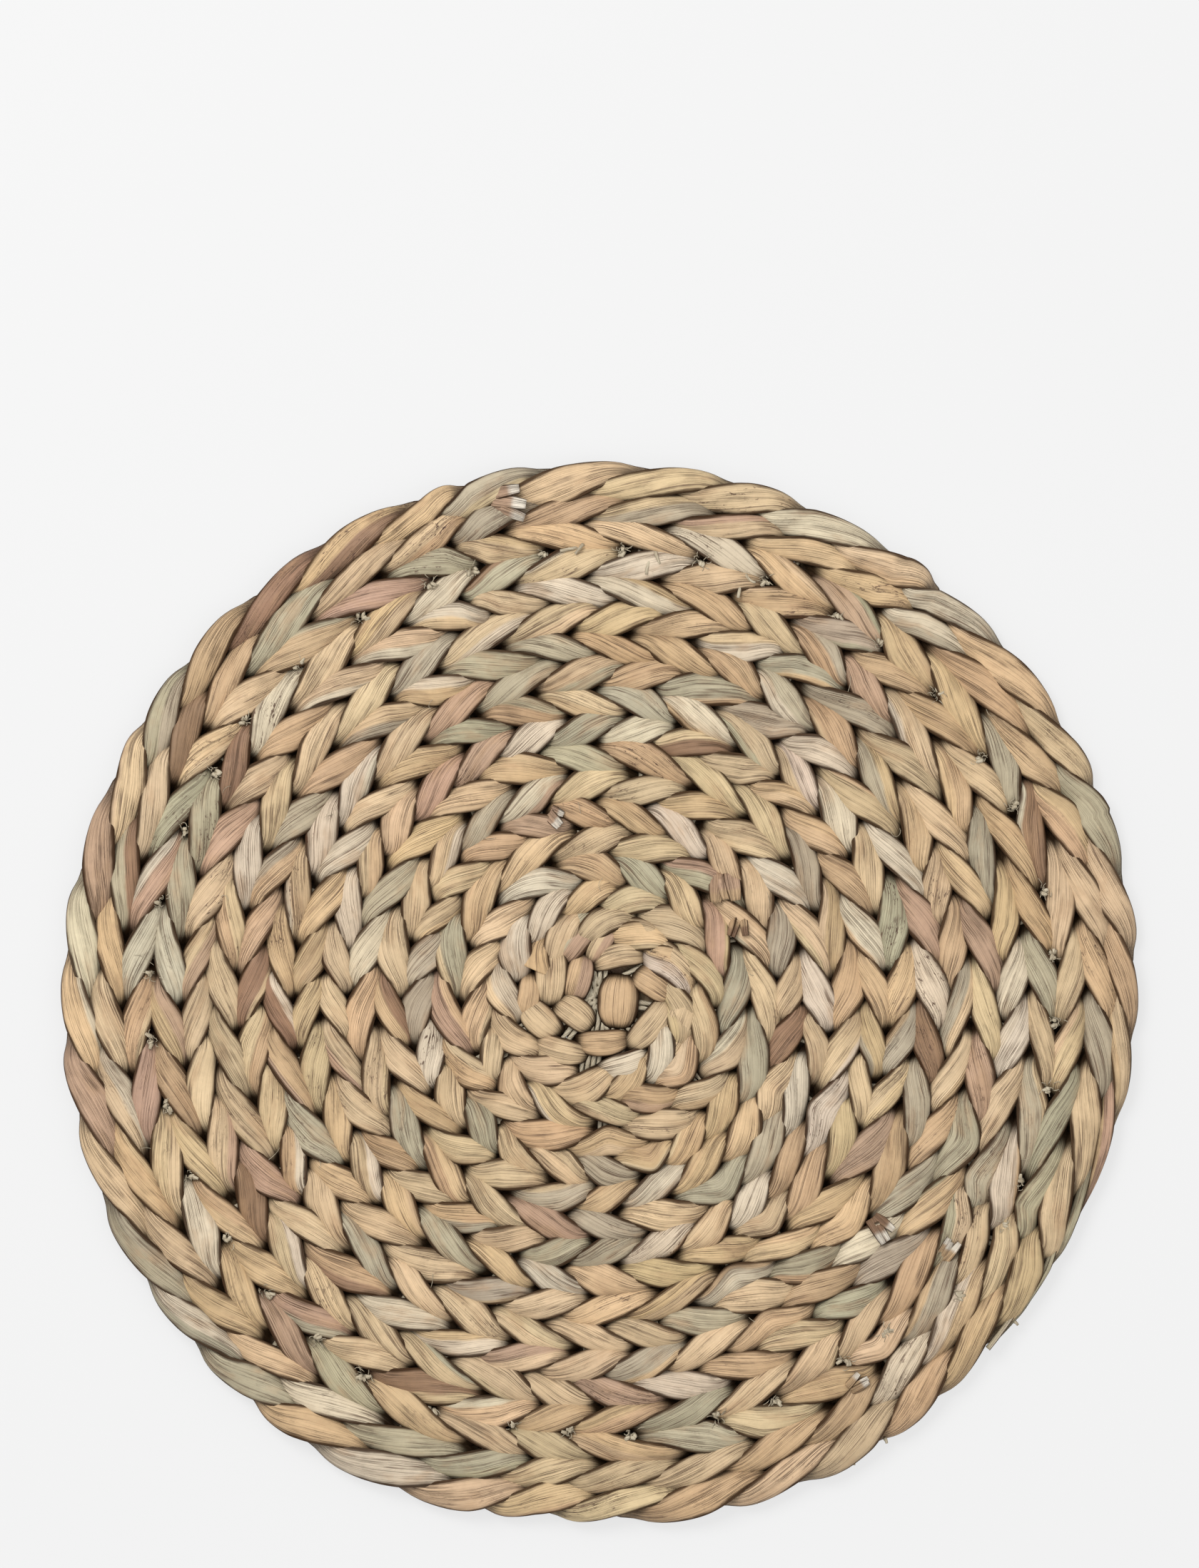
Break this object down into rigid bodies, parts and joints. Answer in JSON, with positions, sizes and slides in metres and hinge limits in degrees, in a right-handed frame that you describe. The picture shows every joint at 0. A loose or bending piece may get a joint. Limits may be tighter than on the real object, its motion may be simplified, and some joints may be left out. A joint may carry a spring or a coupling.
{
  "type": "water hyacinth placemat",
  "caption": "Round placemat twined from flattened water hyacinth stems round thin cord spokes, in a spiral of herringbone rows with a scalloped rim.",
  "frame": {"origin": "middle of the underside, where the mat rests", "axes": "+Z up through the thickness, with the good side up; +Y is up in the reference view, and the last row of twining runs out below and right of the middle, towards +X and -Y"},
  "size_m": [0.3734, 0.37, 0.009],
  "materials": {
    "straw": "dried plant stem, matt with a faint satin sheen"
  },
  "bodies": {
    "root": {"mat": "straw"}
  },
  "joints": []
}
